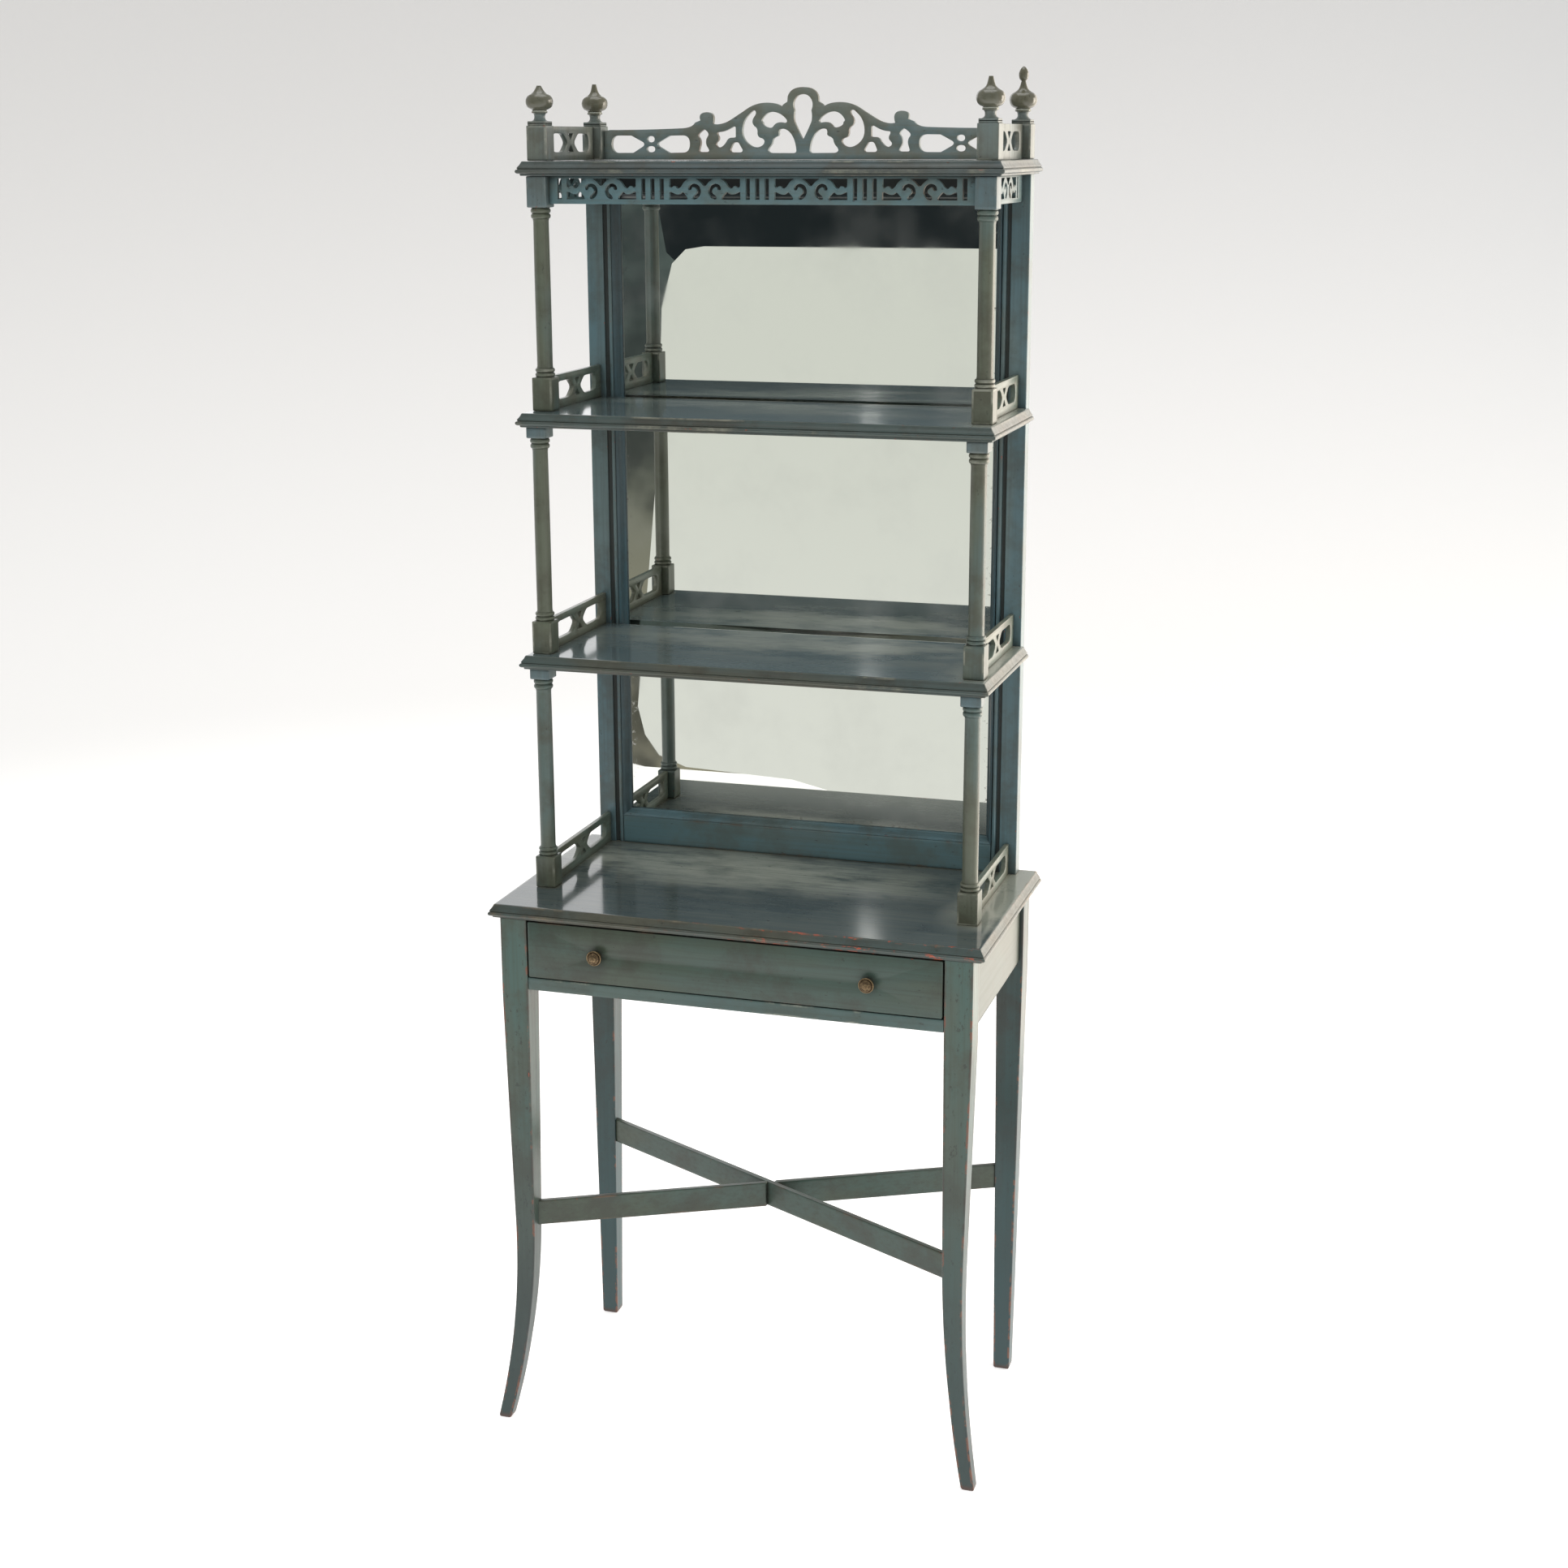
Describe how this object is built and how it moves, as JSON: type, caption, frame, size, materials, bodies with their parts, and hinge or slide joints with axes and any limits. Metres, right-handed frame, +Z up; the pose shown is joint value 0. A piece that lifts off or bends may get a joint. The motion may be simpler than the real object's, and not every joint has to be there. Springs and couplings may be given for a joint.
{
  "type": "etagere",
  "caption": "Free-standing painted etagere: table with a drawer on splayed legs under shelves on turned columns, mirror back, pierced galleries and fretted crest.",
  "frame": {"origin": "centre of the bounding box at floor level, under the feet", "axes": "+Z up, +X to the right seen from the front, +Y to the back, so the drawer faces -Y"},
  "size_m": [0.679, 0.3758, 1.8127],
  "materials": {
    "green_paint": "aged satin grey-green paint with an olive glaze",
    "blue_paint": "aged satin blue-green paint",
    "bare_wood": "bare, darkened with age",
    "aged_brass": "tarnished",
    "silvered_glass": "polished"
  },
  "bodies": {
    "frame": {"table_top": "green_paint", "leg_front_left": "green_paint", "leg_front_right": "green_paint", "leg_rear_left": "green_paint", "leg_rear_right": "green_paint", "apron_left": "green_paint", "apron_right": "green_paint", "apron_back": "green_paint", "front_rail": "green_paint", "drawer_runner_left": "bare_wood", "drawer_runner_right": "bare_wood", "stretcher_front_left": "green_paint", "stretcher_front_right": "green_paint", "shelf_lower": "green_paint", "shelf_upper": "green_paint", "shelf_top": "green_paint", "column_lower_left": "green_paint", "column_lower_right": "green_paint", "column_middle_left": "green_paint", "column_middle_right": "green_paint", "column_upper_left": "green_paint", "column_upper_right": "green_paint", "finial_post_front_left": "green_paint", "finial_post_front_right": "green_paint", "finial_post_rear_left": "green_paint", "finial_post_rear_right": "green_paint", "gallery_lower_left": "green_paint", "gallery_lower_right": "green_paint", "gallery_middle_left": "green_paint", "gallery_middle_right": "green_paint", "gallery_upper_left": "green_paint", "gallery_upper_right": "green_paint", "gallery_top_left": "green_paint", "gallery_top_right": "green_paint", "crest": "green_paint", "frieze_front": "blue_paint", "frieze_left": "blue_paint", "frieze_right": "blue_paint", "back_stile_left": "blue_paint", "back_stile_right": "blue_paint", "back_rail_bottom": "blue_paint", "back_rail_top": "blue_paint", "sight_moulding_left": "blue_paint", "sight_moulding_right": "blue_paint", "sight_moulding_bottom": "blue_paint", "sight_moulding_top": "blue_paint", "mirror": "silvered_glass", "back_board": "bare_wood"},
    "drawer": {"drawer_front": "green_paint", "drawer_side_left": "bare_wood", "drawer_side_right": "bare_wood", "drawer_back": "bare_wood", "drawer_bottom": "bare_wood", "knob_left": "aged_brass", "knob_right": "aged_brass", "knob_nut_left": "aged_brass", "knob_nut_right": "aged_brass"}
  },
  "joints": [
    {"name": "drawer_slide", "type": "slide", "parent": "frame", "child": "drawer", "axis": [0, -1, 0], "range_m": [0, 0.2]}
  ]
}
